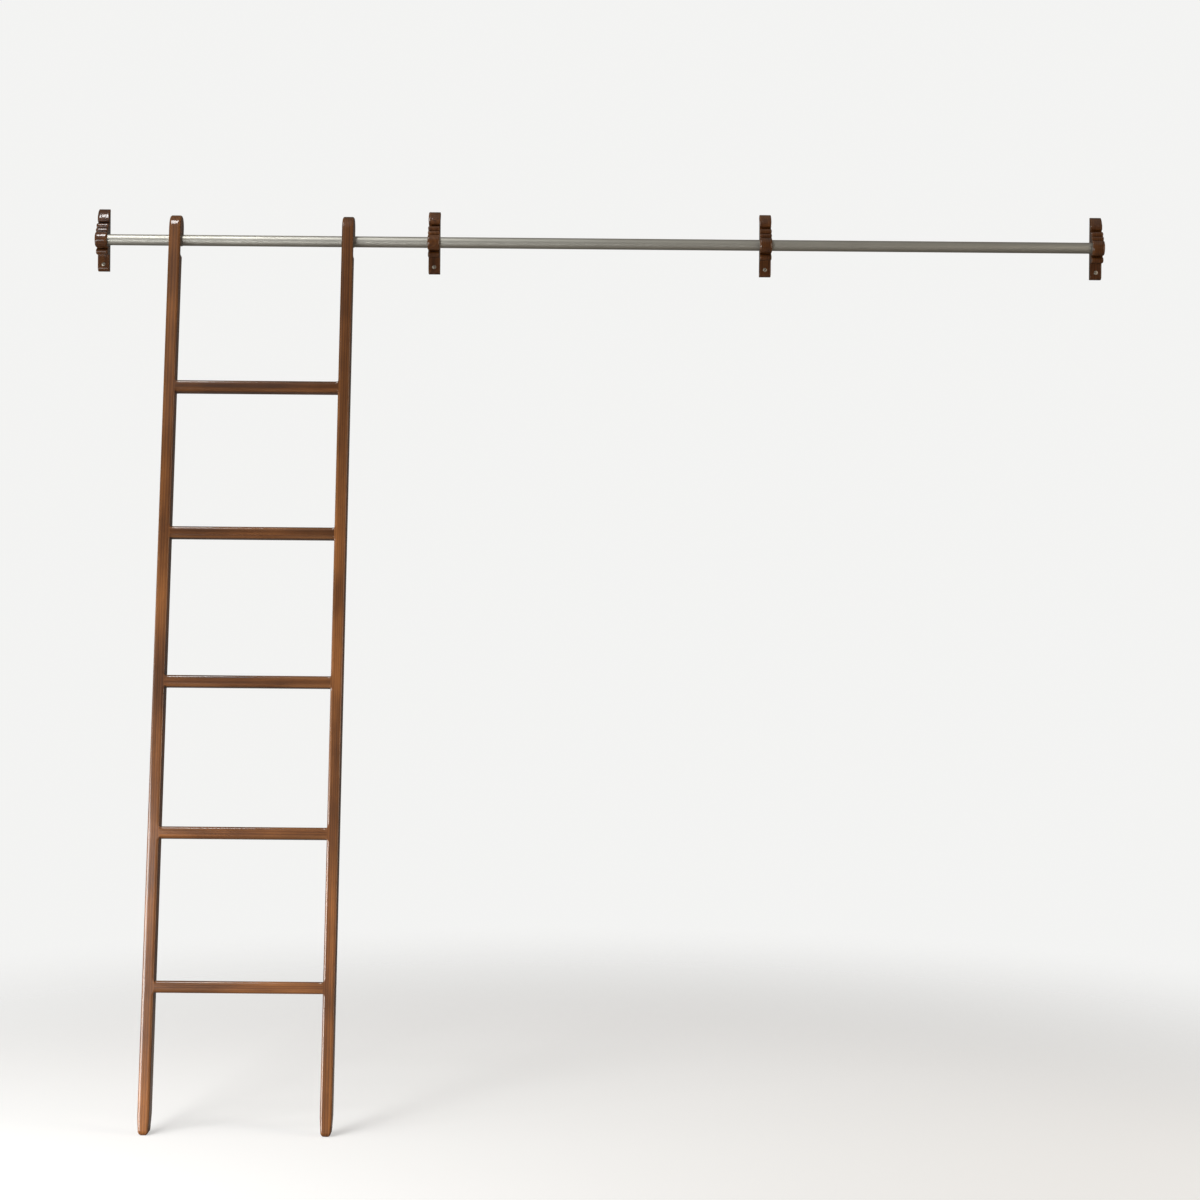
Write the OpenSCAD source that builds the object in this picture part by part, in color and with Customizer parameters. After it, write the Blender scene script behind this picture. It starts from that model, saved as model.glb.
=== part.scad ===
/* [Rail] */
// Outer diameter of the steel rail tube
tube_d = 25; // [22:1:28]
// Wall thickness of the rail tube
tube_wall = 1.5; // [1:0.5:2]
// Height of the tube's axis above the floor
rail_height = 1960; // [1900:10:2300]
// Distance from the centre of one bracket to the centre of the next
bay_pitch = 757; // [600:1:1000]
// Distance from the tube's axis back to the face that the brackets are screwed to
tube_standoff = 38; // [36:1:42]

/* [Brackets] */
// Width of a bracket along the rail
bracket_w = 28; // [26:1:34]
// Height of a bracket above the tube's axis
bracket_top = 73; // [72:1:76]
// Height of a bracket below the tube's axis
bracket_drop = 70; // [68:1:80]
// Thickness of the flat tail plate at the bottom of a bracket
tail_t = 15; // [12:1:18]
// Depth of the blind sockets that hold the tube's ends
socket_depth = 22; // [18:1:24]
// Length of each bracket screw that goes into the bookcase post
screw_bite = 32; // [25:1:40]

/* [Ladder] */
// Angle between the stiles and a plumb line
lean = 10; // [8:0.5:12]
// Distance between the centres of the two stiles
stile_spacing = 393; // [360:1:420]
// Width of a stile, seen from the front
stile_w = 26; // [24:1:30]
// Wood in front of the tube where a stile is notched for it
front_wall = 16.4; // [15:0.2:20]
// Radius of the rounded arrises
arris_r = 4.5; // [2:0.5:6]
// Radius of the rounded corners of a foot, seen from the front
foot_r = 7; // [4:1:9]
// Width of the flat end that a foot stands on, seen from the front
foot_flat = 8; // [6:1:12]
// Angle by which each side of a foot leans in towards the floor
foot_lean = 3.5; // [1:0.5:5]
// Sideways place of the ladder's centre line on the rail
ladder_x = -770; // [-800:1:-700]

/* [Rungs] */
// Height of a rung's section
rung_h = 26; // [24:1:32]
// Depth of a rung's section
rung_depth = 38; // [32:1:40]
// Distance along the stile from the tube's axis down to the top rung
top_rung_drop = 344; // [300:1:360]
// Distance along the stile from one rung to the next
rung_pitch = 333.5; // [300:0.5:340]

/* [Hidden] */
RUNGS = 5;
BRACKET_NAMES = ["left_end_bracket", "left_middle_bracket", "right_middle_bracket", "right_end_bracket"];

$fn = 64;
far = 4000;
eps = 1;

WOOD = [0.40, 0.24, 0.14];
DARK_WOOD = [0.30, 0.17, 0.10];
PLUG_WOOD = [0.45, 0.28, 0.17];
STEEL = [0.74, 0.75, 0.74];
SCREW_STEEL = [0.60, 0.56, 0.48];

// Tube and its fits
tube_r = tube_d / 2;
running_gap = 0.05;
bore_r = tube_r + running_gap;
seat_r = tube_r + 0.3;
rail_half = 1.5 * bay_pitch;
tube_half = rail_half - bracket_w / 2 + socket_depth - 1;

// The origin is on the floor, midway between the toes and the bracket screws' tips
rail_y = 152;
post_y = rail_y + tube_standoff;

// Stile and hook section, measured from the tube's axis, square to the stile
front = seat_r + front_wall;
stile_depth = front + seat_r;
hook_back = 31;
head_top = 59;
head_front_r = 35;
lap_v = head_front_r - front;
head_back_r = hook_back - lap_v;
beak_drop = 8;
beak_r = (hook_back - seat_r) / 2;
throat_drop = 36;
throat_r = 6;

// Feet on the floor
stile_foot = -(rail_height + 60) / cos(lean);
toe_r = 8;
toe_y = rail_y - front * cos(lean) - (rail_height + front * sin(lean)) * tan(lean);
heel_y = rail_y + seat_r * cos(lean) - (rail_height - seat_r * sin(lean)) * tan(lean);
toe_centre = toe_y + toe_r * (tan(lean) + 1 / cos(lean));
heel_centre = heel_y + toe_r * (tan(lean) - 1 / cos(lean));

// Rungs and their joints
rung_arris_r = 8;
tenon_l = 12;
tenon_h = 16;
tenon_d = 24;
rung_len = stile_spacing - stile_w;
rung_v = -front + rung_depth / 2;
rung_screw_l = 45;
rung_plug_r = 6;
rung_plug_l = 6;

// Hook joints
dowel_r = 4;
dowel_l = 34;
dowel_levels = [25, 43];
fit_gap = 0.05;

// Screws, and the bracket screws' heights above the tube's axis
screw_head_r = 4.6;
screw_head_l = 3.2;
slot_w = 1;
slot_depth = 1.2;
shank_r = 2.5;
thread_r = 2.2;
lower_screw_z = -54;
upper_screw_z = 57;
bracket_plug_r = 6;
// Projection of the bracket's nose, its neck, reeds, main bead, the neck under it and the step
nose_out = 23;
nose_r = 38;
nose_bottom = 42.5;
nose_neck_out = 14;
nose_lip_r = 4;
reed_r = 6.8;
reeds = [[34, 31.5], [42, 20.3]];
bead_r = 17.5;
bead_out = 59;
neck_out = 30;
step_out = 40;
step_r = 6.5;
step_z = -26.5;
end_round = 6;
upper_screw_head = 10;

// The nose's front is an arc whose top meets the post, with a small lip rounded into it at the bottom
nose_v = nose_r - nose_out;
nose_z = bracket_top - sqrt(nose_r * nose_r - nose_v * nose_v);
lip_z = nose_bottom + nose_lip_r;
lip_v = nose_v - sqrt(pow(nose_r - nose_lip_r, 2) - pow(lip_z - nose_z, 2));
lip_top = nose_z + (lip_z - nose_z) * nose_r / (nose_r - nose_lip_r);

function rung_u(i) = -top_rung_drop - (RUNGS - i) * rung_pitch;
function bracket_x(i) = -rail_half + i * bay_pitch;

// Places children in the ladder's frame: X along the rail, Y back and Z up, both along the leaning stile
module on_ladder() {
    translate([ladder_x, rail_y, rail_height]) rotate([-lean, 0, 0]) children();
}

// Places children on a bracket: X along the rail, Y back, the back face at Y = 0, the tube's axis at Z = 0
module on_bracket(i) {
    translate([bracket_x(i), post_y, rail_height]) children();
}

// Extrudes an outline drawn as (Y, Z) by a width centred on X = 0
module across(width) {
    rotate([90, 0, 90]) linear_extrude(width, center = true) children();
}

// Extrudes an outline drawn as (X, Z) through the whole depth
module through_depth() {
    rotate([90, 0, 0]) linear_extrude(far, center = true) children();
}

// A cylinder along +X, from X = 0
module rod_x(r, l) {
    rotate([0, 90, 0]) cylinder(r = r, h = l);
}

// A cylinder along +Y, from Y = 0
module rod_y(r, l) {
    rotate([-90, 0, 0]) cylinder(r = r, h = l);
}

// A rectangle with its four corners rounded, from one corner to the other
module rounded_rect(x0, y0, x1, y1, r) {
    translate([x0 + r, y0]) square([x1 - x0 - 2 * r, y1 - y0]);
    translate([x0, y0 + r]) square([x1 - x0, y1 - y0 - 2 * r]);
    for (x = [x0 + r, x1 - r], y = [y0 + r, y1 - r]) translate([x, y]) circle(r);
}

// What is outside a quarter round of radius r at a corner that points to (sx, sy)
module corner_waste(x, y, r, sx, sy) {
    difference() {
        translate([x - (sx > 0 ? r : eps), y - (sy > 0 ? r : eps)]) square(r + eps);
        translate([x - sx * r, y - sy * r]) circle(r);
    }
}

// ---- Rail ----

module rail_tube() {
    color(STEEL) translate([-tube_half, rail_y, rail_height]) difference() {
        rod_x(tube_r, 2 * tube_half);
        translate([-eps, 0, 0]) rod_x(tube_r - tube_wall, 2 * tube_half + 2 * eps);
    }
}

// ---- Brackets ----

// Side outline of a bracket: Y is negative in front of the post
module bracket_outline() {
    translate([-tail_t, -bracket_drop]) square([tail_t, bracket_drop + nose_bottom]);
    intersection() {
        translate([nose_v, nose_z]) circle(nose_r);
        translate([-nose_out, lip_top]) square([nose_out, nose_r]);
    }
    translate([lip_v, lip_z]) circle(nose_lip_r);
    translate([lip_v, nose_bottom]) square([-lip_v, lip_top - nose_bottom]);
    translate([-nose_neck_out, 0]) square([nose_neck_out, nose_bottom + eps]);
    for (reed = reeds) {
        translate([-reed[0] + reed_r, reed[1]]) circle(reed_r);
        translate([-reed[0] + reed_r, 0]) square([reed[0] - reed_r, reed[1] + reed_r]);
    }
    translate([-bead_out + bead_r, 0]) circle(bead_r);
    translate([-neck_out, step_z]) square([neck_out, bead_r - step_z]);
    translate([-step_out + step_r, step_z]) circle(step_r);
    translate([-step_out + step_r, step_z - step_r]) square([step_out - step_r, 2 * step_r]);
}

module bracket_blank() {
    intersection() {
        across(bracket_w) bracket_outline();
        through_depth() rounded_rect(-bracket_w / 2, -bracket_drop, bracket_w / 2, bracket_top, end_round);
    }
}

module bracket(i) {
    is_left_end = i == 0;
    is_right_end = i == len(BRACKET_NAMES) - 1;
    socket_from = is_left_end ? bracket_w / 2 - socket_depth : -bracket_w;
    socket_to = is_right_end ? socket_depth - bracket_w / 2 : bracket_w;
    color(DARK_WOOD) on_bracket(i) difference() {
        bracket_blank();
        translate([socket_from, -tube_standoff, 0]) rod_x(bore_r, socket_to - socket_from);
        translate([0, -far / 2, lower_screw_z]) rod_y(shank_r + fit_gap, far);
        translate([0, -tail_t - eps, lower_screw_z]) rod_y(screw_head_r + fit_gap, eps + screw_head_l);
        translate([0, -far / 2, upper_screw_z]) rod_y(shank_r + fit_gap, far);
        translate([0, -far / 2, upper_screw_z])
            rod_y(bracket_plug_r + fit_gap, far / 2 - upper_screw_head + screw_head_l);
    }
}

// A slotted screw along +Y, with the top of its head at Y = 0 and a thinner threaded part after its shank
module slotted_screw(shank_l, thread_l) {
    difference() {
        union() {
            rod_y(shank_r, shank_l);
            rod_y(thread_r, shank_l + thread_l);
            rod_y(screw_head_r, screw_head_l);
        }
        translate([-far / 2, -eps, -slot_w / 2]) cube([far, eps + slot_depth, slot_w]);
    }
}

module lower_bracket_screws() {
    color(SCREW_STEEL) for (i = [0:len(BRACKET_NAMES) - 1]) on_bracket(i)
        translate([0, -tail_t, lower_screw_z]) slotted_screw(tail_t, screw_bite);
}

module upper_bracket_screws() {
    color(SCREW_STEEL) for (i = [0:len(BRACKET_NAMES) - 1]) on_bracket(i)
        translate([0, -upper_screw_head, upper_screw_z]) slotted_screw(upper_screw_head, screw_bite);
}

module bracket_plugs() {
    color(PLUG_WOOD) for (i = [0:len(BRACKET_NAMES) - 1]) on_bracket(i) intersection() {
        bracket_blank();
        translate([0, -far / 2, upper_screw_z]) rod_y(bracket_plug_r, far / 2 - upper_screw_head - fit_gap);
    }
}

// ---- Ladder ----

// Side outline of the whole hooked head, as if stile and hook block were one
module head_outline() {
    difference() {
        translate([-front, -beak_drop]) square([front + hook_back, head_top + beak_drop]);
        corner_waste(-front, head_top, head_front_r, -1, 1);
        corner_waste(hook_back, head_top, head_back_r, 1, 1);
    }
}

// Side outline of the throat that the tube passes through on its way into the seat
module throat_outline() {
    circle(seat_r);
    translate([-seat_r, -throat_drop + throat_r]) square([far, throat_drop - throat_r]);
    translate([-seat_r + throat_r, -throat_drop]) square([far, throat_drop]);
    translate([-seat_r + throat_r, -throat_drop + throat_r]) circle(throat_r);
}

// Front view of a foot, which narrows towards the floor and ends in rounded corners
module foot_front() {
    half = stile_w / 2 + fit_gap;
    edge_x = foot_flat / 2 + foot_r * cos(foot_lean);
    edge_z = foot_r * (1 - sin(foot_lean));
    full_z = edge_z + (half - edge_x) / tan(foot_lean);
    for (side = [-1, 1]) translate([side * foot_flat / 2, foot_r]) circle(foot_r);
    polygon([
        [-foot_flat / 2, 0], [foot_flat / 2, 0], [edge_x, edge_z], [half, full_z],
        [half, far], [-half, far], [-half, full_z], [-edge_x, edge_z]
    ]);
}

// Rounded foot end: front view and side view
module foot_envelope(x) {
    intersection() {
        translate([x, 0, 0]) through_depth() foot_front();
        across(far) {
            translate([-far / 2, toe_r]) square(far);
            translate([toe_centre, 0]) square([heel_centre - toe_centre, 2 * toe_r]);
            for (y = [toe_centre, heel_centre]) translate([y, toe_r]) circle(toe_r);
        }
    }
}

// The stile's whole section below the tube, and its front part beside and above the tube
module stile_section() {
    half = stile_w / 2;
    translate([0, 0, stile_foot]) linear_extrude(-throat_drop - stile_foot)
        rounded_rect(-half, -front, half, seat_r, arris_r);
    translate([0, 0, -throat_drop - eps]) linear_extrude(head_top + throat_drop + eps) difference() {
        translate([-half, -front]) square([stile_w, front + lap_v]);
        corner_waste(-half, -front, arris_r, -1, -1);
        corner_waste(half, -front, arris_r, 1, -1);
    }
}

// Holes for the hook's dowels, or the dowels themselves
module dowel_rods(r, length) {
    for (z = dowel_levels) translate([0, lap_v - length / 2, z]) rod_y(r, length);
}

// Places children on the end of a rung: X = 0 is the stile's outer face, and +X runs into the rung
module on_rung_end(side, i) {
    translate([side * (stile_spacing + stile_w) / 2, rung_v, rung_u(i)]) rotate([0, side > 0 ? 180 : 0, 0])
        children();
}

// The counterbore and hole that a rung's screw goes into
module rung_screw_hole() {
    translate([-eps, 0, 0]) rod_x(rung_plug_r + fit_gap, eps + rung_plug_l + screw_head_l);
    rod_x(shank_r + fit_gap, rung_plug_l + rung_screw_l + eps);
}

module mortise(side, i) {
    translate([side * rung_len / 2, rung_v, rung_u(i)])
        cube([2 * tenon_l, tenon_d, tenon_h], center = true);
}

// One stile: side is -1 for the left and 1 for the right
module stile(side) {
    x = side * stile_spacing / 2;
    color(WOOD) intersection() {
        on_ladder() difference() {
            translate([x, 0, 0]) intersection() {
                stile_section();
                across(stile_w) {
                    head_outline();
                    translate([-front, stile_foot]) square([stile_depth, -stile_foot]);
                }
            }
            translate([x, 0, 0]) across(stile_w + eps) throat_outline();
            translate([x, 0, 0]) dowel_rods(dowel_r + fit_gap, dowel_l);
            for (i = [1:RUNGS]) {
                mortise(side, i);
                on_rung_end(side, i) rung_screw_hole();
            }
        }
        foot_envelope(ladder_x + x);
    }
}

// Side outline of the hook block: the rear half of the seat, and the beak behind the tube
module hook_outline() {
    difference() {
        union() {
            intersection() {
                head_outline();
                translate([lap_v, 0]) square([hook_back - lap_v, head_top]);
            }
            translate([seat_r, beak_r - beak_drop]) square([2 * beak_r, beak_drop]);
            translate([seat_r + beak_r, beak_r - beak_drop]) circle(beak_r);
        }
        circle(seat_r);
    }
}

// The block glued and dowelled behind a stile's head
module hook(side) {
    half = stile_w / 2;
    color(WOOD) on_ladder() translate([side * stile_spacing / 2, 0, 0]) difference() {
        intersection() {
            across(stile_w) hook_outline();
            translate([0, 0, -far / 2]) linear_extrude(far) difference() {
                translate([-half, lap_v]) square([stile_w, hook_back - lap_v]);
                corner_waste(-half, hook_back, arris_r, -1, 1);
                corner_waste(half, hook_back, arris_r, 1, 1);
            }
        }
        dowel_rods(dowel_r + fit_gap, dowel_l);
    }
}

module hook_dowels(side) {
    color(PLUG_WOOD) on_ladder() translate([side * stile_spacing / 2, 0, 0])
        dowel_rods(dowel_r, dowel_l - 2 * fit_gap);
}

module rung(i) {
    color(WOOD) on_ladder() difference() {
        translate([0, rung_v, rung_u(i)]) {
            across(rung_len)
                rounded_rect(-rung_depth / 2, -rung_h / 2, rung_depth / 2, rung_h / 2, rung_arris_r);
            across(rung_len + 2 * tenon_l) square([tenon_d, tenon_h], center = true);
        }
        for (side = [-1, 1]) on_rung_end(side, i) rung_screw_hole();
    }
}

// Screws that pull one stile on to the ends of the rungs
module rung_screws(side) {
    color(SCREW_STEEL) on_ladder() for (i = [1:RUNGS])
        on_rung_end(side, i) translate([rung_plug_l, 0, 0]) rotate([0, 0, -90])
            slotted_screw(stile_w - rung_plug_l, rung_screw_l - stile_w + rung_plug_l);
}

// Round plugs that hide those screws in the stile's outer face
module rung_plugs(side) {
    color(PLUG_WOOD) on_ladder() for (i = [1:RUNGS])
        on_rung_end(side, i) rod_x(rung_plug_r, rung_plug_l - fit_gap);
}

for (i = [0:len(BRACKET_NAMES) - 1]) bracket(i);
lower_bracket_screws();
upper_bracket_screws();
bracket_plugs();
rail_tube();
stile(-1);  // left_stile
stile(1);  // right_stile
hook(-1);  // left_hook
hook(1);  // right_hook
hook_dowels(-1);  // left_hook_dowels
hook_dowels(1);  // right_hook_dowels
for (i = [1:RUNGS]) rung(i);
rung_screws(-1);  // left_rung_screws
rung_screws(1);  // right_rung_screws
rung_plugs(-1);  // left_rung_plugs
rung_plugs(1);  // right_rung_plugs
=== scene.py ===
import math

import bmesh
import bpy
from mathutils import Matrix, Vector
from mathutils.geometry import tessellate_polygon

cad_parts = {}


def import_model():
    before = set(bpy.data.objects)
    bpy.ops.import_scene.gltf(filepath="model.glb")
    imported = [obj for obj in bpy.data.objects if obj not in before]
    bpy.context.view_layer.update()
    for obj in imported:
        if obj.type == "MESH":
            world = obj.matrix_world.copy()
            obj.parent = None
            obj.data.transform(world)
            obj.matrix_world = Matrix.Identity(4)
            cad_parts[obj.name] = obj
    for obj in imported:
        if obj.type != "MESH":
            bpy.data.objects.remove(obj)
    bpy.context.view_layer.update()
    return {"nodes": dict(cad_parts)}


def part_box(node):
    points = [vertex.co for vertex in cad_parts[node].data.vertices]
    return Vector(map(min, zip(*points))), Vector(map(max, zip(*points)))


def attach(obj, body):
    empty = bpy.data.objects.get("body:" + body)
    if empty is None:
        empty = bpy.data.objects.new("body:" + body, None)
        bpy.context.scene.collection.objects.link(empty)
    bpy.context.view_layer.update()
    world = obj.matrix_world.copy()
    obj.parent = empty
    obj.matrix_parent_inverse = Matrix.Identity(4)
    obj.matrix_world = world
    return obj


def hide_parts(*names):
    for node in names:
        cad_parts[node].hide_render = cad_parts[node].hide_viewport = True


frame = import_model()

# A wooden ladder hooked on a steel rail, which four carved brackets carry along the front of a
# bookcase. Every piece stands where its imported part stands.

# ---- Sizes, in metres ----

MM = 0.001
LEAN = math.radians(10)

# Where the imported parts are
tube_lo, tube_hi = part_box("rail_tube")
TUBE_R = (tube_hi.z - tube_lo.z) / 2
RAIL_Y = (tube_lo.y + tube_hi.y) / 2
RAIL_Z = (tube_lo.z + tube_hi.z) / 2
BRACKETS = [
    "left_end_bracket",
    "left_middle_bracket",
    "right_middle_bracket",
    "right_end_bracket",
]
POST_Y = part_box(BRACKETS[0])[1].y
STANDOFF = POST_Y - RAIL_Y
BRACKET_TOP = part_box(BRACKETS[0])[1].z - RAIL_Z
BRACKET_DROP = RAIL_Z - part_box(BRACKETS[0])[0].z
SIDES = {"left": -1, "right": 1}
RUNGS = [f"rung_{i}" for i in range(1, 6)]

# Stile and hook, measured from the tube's axis: v goes back, square to the stile, and u goes up it
SEAT_R = TUBE_R + 0.3 * MM
FRONT = SEAT_R + 16.4 * MM
HOOK_BACK = 31 * MM
HEAD_TOP = 59 * MM
HEAD_FRONT_R = 35 * MM
LAP_V = HEAD_FRONT_R - FRONT
HEAD_BACK_R = HOOK_BACK - LAP_V
BEAK_DROP = 8 * MM
BEAK_R = (HOOK_BACK - SEAT_R) / 2
THROAT_DROP = 36 * MM
THROAT_R = 6 * MM
STILE_HALF = 13 * MM
ARRIS_R = 4.5 * MM
RUNG_ARRIS_R = 8 * MM
SEAT_ARRIS_R = 1.2 * MM
TOE_R = 9.6 * MM
FOOT_SIDE_R = 8.2 * MM
FOOT_TAPER_H = 41 * MM
FOOT_LEAN = math.radians(3.5)
ROUTER_R = 8 * MM

# Rungs and their joints
RUNG_H = 26 * MM
RUNG_DEPTH = 38 * MM
RUNG_V = -FRONT + RUNG_DEPTH / 2
TENON_L = 12 * MM
TENON_H = 16 * MM
TENON_D = 24 * MM
TENON_CHAMFER = 0.75 * MM
MORTISE_SPARE = 0.3 * MM
PLUG_R = 6 * MM
PLUG_L = 6 * MM
PLUG_PROUD = 0.35 * MM
PLUG_HOLE_R = PLUG_R + 0.05 * MM
PLUG_HOLE_DEPTH = PLUG_L + 3 * MM

# Brackets, measured from the post's face (forward is negative) and the tube's axis
BRACKET_HALF = (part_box(BRACKETS[0])[1].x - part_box(BRACKETS[0])[0].x) / 2
BRACKET_BULGE = 0.9 * MM
TAIL_T = 15 * MM
SOCKET_DEPTH = 22 * MM
BORE_R = TUBE_R + 0.1 * MM
BORE_RIM = 0.6 * MM
LOWER_SCREW_Z = -54 * MM
UPPER_SCREW_Z = 57 * MM
UPPER_SCREW_HEAD = 10 * MM
THREAD_L = 31.5 * MM
SCREW_R = 2.5 * MM
SCREW_HEAD_R = 4.6 * MM

# How finely round shapes are divided
QUARTER_STEPS = 6
ARC_STEP = math.radians(6)
SHARP_EDGE = math.radians(32)


# ---- Outlines ----
# An outline point is (v, u, edge): its place, and the radius that rounds the piece's edge there.
# Outlines run clockwise, so the wood is on the right.


def arc(centre, radius, start, end, edge=0.0, crown=None):
    """Points on an arc from one angle to another, in degrees.
    crown is the edge radius half way along it."""
    a0, a1 = math.radians(start), math.radians(end)
    steps = max(3, math.ceil(abs(a1 - a0) / ARC_STEP))
    points = []
    for k in range(steps + 1):
        t = k / steps
        a = a0 + (a1 - a0) * t
        v = centre[0] + radius * math.cos(a)
        u = centre[1] + radius * math.sin(a)
        rounding = edge if crown is None else edge + (crown - edge) * math.sin(math.pi * t)
        points.append((v, u, rounding))
    return points


def fillet(before, corner, after, radius, edge=0.0, edge_after=None):
    """The arc that rounds a corner between two straight lines.
    Its edge radius may change on the way."""
    c = Vector(corner)
    to_before = (Vector(before) - c).normalized()
    to_after = (Vector(after) - c).normalized()
    half_angle = to_before.angle(to_after) / 2
    centre = c + (to_before + to_after).normalized() * radius / math.sin(half_angle)
    tangent = radius / math.tan(half_angle)
    first, last = c + to_before * tangent - centre, c + to_after * tangent - centre
    sweep = first.angle_signed(last)
    steps = max(3, math.ceil(abs(sweep) / ARC_STEP))
    end_edge = edge if edge_after is None else edge_after
    points = []
    for k in range(steps + 1):
        t = k / steps
        spoke = first.copy()
        spoke.rotate(Matrix.Rotation(-sweep * t, 2))
        eased = t * t * (3 - 2 * t)
        points.append((centre.x + spoke.x, centre.y + spoke.y, edge + (end_edge - edge) * eased))
    return points


def circles_meet(c1, r1, c2, r2):
    """Where two circles cross, on the left of the way from the first centre to the second."""
    a, b = Vector(c1), Vector(c2)
    d = (b - a).length
    along = (d * d + r1 * r1 - r2 * r2) / (2 * d)
    across = math.sqrt(r1 * r1 - along * along)
    way = (b - a) / d
    return a + way * along + Vector((-way.y, way.x)) * across


def angle_from(centre, point):
    return math.degrees(math.atan2(point[1] - centre[1], point[0] - centre[0]))


def circle(centre, radius, steps=48):
    turns = (2 * math.pi * k / steps for k in range(steps))
    return [(centre[0] + radius * math.cos(a), centre[1] + radius * math.sin(a)) for a in turns]


def rectangle(centre, width, height):
    corners = ((-1, -1), (1, -1), (1, 1), (-1, 1))
    return [(centre[0] + sx * width / 2, centre[1] + sy * height / 2) for sx, sy in corners]


def routed(distance, radius=ARRIS_R):
    """The radius that a round-over cutter leaves at a distance from an inside corner.
    Its bearing can't reach into the corner, so the rounding runs out there."""
    if distance >= ROUTER_R:
        return radius
    reach = ROUTER_R - max(0.0, distance)
    return math.sqrt((ROUTER_R + radius) ** 2 - reach**2) - ROUTER_R


# ---- Meshes ----


class Solid:
    """A closed mesh in a piece's own (x, v, u) frame.
    Each vertex keeps its grain coordinates and how much lighter its edge is painted: partly wear,
    partly a painted highlight."""

    def __init__(self):
        self.bm = bmesh.new()
        self.grain = self.bm.verts.layers.float_vector.new("grain")
        self.wear_and_highlight = self.bm.verts.layers.float.new("wear_and_highlight")

    def vertex(self, x, v, u, wear_and_highlight=0.0):
        vertex = self.bm.verts.new((x, v, u))
        vertex[self.wear_and_highlight] = wear_and_highlight
        return vertex

    def face(self, vertices):
        if len(set(vertices)) == len(vertices):
            self.bm.faces.new(vertices)

    def strip(self, row, other, closed=False):
        """Quads between two rows of vertices."""
        count = len(row)
        for k in range(count if closed else count - 1):
            self.face((row[k], row[(k + 1) % count], other[(k + 1) % count], other[k]))

    def cap(self, rim, holes=()):
        """A flat face inside a ring of vertices, with a hole for each other ring."""
        loops = [rim, *holes]
        flat = [vertex for loop in loops for vertex in loop]
        places = [[vertex.co.copy() for vertex in loop] for loop in loops]
        for triangle in tessellate_polygon(places):
            self.face([flat[k] for k in triangle])

    def well(self, rings, through=False):
        """Rings of vertices, each given as (x, outline), joined into the wall of a hole.
        The hole has a bottom unless it goes through."""
        rows = [[self.vertex(x, v, u) for v, u in outline] for x, outline in rings]
        for row, following in zip(rows, rows[1:]):
            self.strip(row, following, closed=True)
        if not through:
            self.face(rows[-1])
        return rows

    def mesh(self, name, place, grain_axis, offset, tone):
        """Finishes the mesh. place turns (x, v, u) into the row frame, and the fibres follow
        grain_axis. offset is the piece's place in its board, and tone lightens its stain."""
        bm = self.bm
        order = [axis for axis in range(3) if axis != grain_axis] + [grain_axis]
        bmesh.ops.remove_doubles(bm, verts=bm.verts, dist=1e-6)
        bmesh.ops.dissolve_degenerate(bm, edges=bm.edges, dist=1e-7)
        bmesh.ops.recalc_face_normals(bm, faces=bm.faces)
        for vertex in bm.verts:
            co = vertex.co
            vertex[self.grain] = Vector([co[axis] for axis in order]) + Vector(offset)
        bm.transform(place)
        tone_layer = bm.verts.layers.float.new("tone")
        for vertex in bm.verts:
            vertex[tone_layer] = tone
        for face in bm.faces:
            face.smooth = True
        for edge in bm.edges:
            edge.smooth = edge.calc_face_angle(math.pi) < SHARP_EDGE
        made = bpy.data.meshes.new(name)
        bm.to_mesh(made)
        bm.free()
        return made


def quarter(radius):
    """The points of a quarter round, from the side face to the outline's own face.
    Each is (in from the side, in from the outline)."""
    angles = (math.pi / 2 * (1 - k / QUARTER_STEPS) for k in range(QUARTER_STEPS + 1))
    return [(radius * (1 - math.sin(a)), radius * (1 - math.cos(a))) for a in angles]


def rubbing_and_highlight(step):
    """How much lighter a quarter round is painted at one of its points, for wear and for a painted
    highlight: most half way round.
    """
    return math.sin(math.pi * (step + 1) / (QUARTER_STEPS + 2))


def inward(outline, flat_tops=()):
    """At each outline point, the way into the wood, as long as it takes to keep the edges parallel.
    At a point in flat_tops the way in is straight down."""
    count = len(outline)
    ways = []
    for k in range(count):
        here = Vector(outline[k][:2])
        arriving = (here - Vector(outline[k - 1][:2])).normalized()
        leaving = (Vector(outline[(k + 1) % count][:2]) - here).normalized()
        n1, n2 = Vector((arriving.y, -arriving.x)), Vector((leaving.y, -leaving.x))
        ways.append((n1 + n2) / max(0.3, 1 + n1.dot(n2)))
    for k in flat_tops:
        ways[k] = Vector((0, -1))
    return ways


def clean(outline):
    """The outline without points that repeat the one before."""
    kept = []
    for point in outline:
        if not kept or (Vector(point[:2]) - Vector(kept[-1][:2])).length > 2e-6:
            kept.append(point)
    if (Vector(kept[0][:2]) - Vector(kept[-1][:2])).length < 2e-6:
        kept.pop()
    return kept


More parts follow.
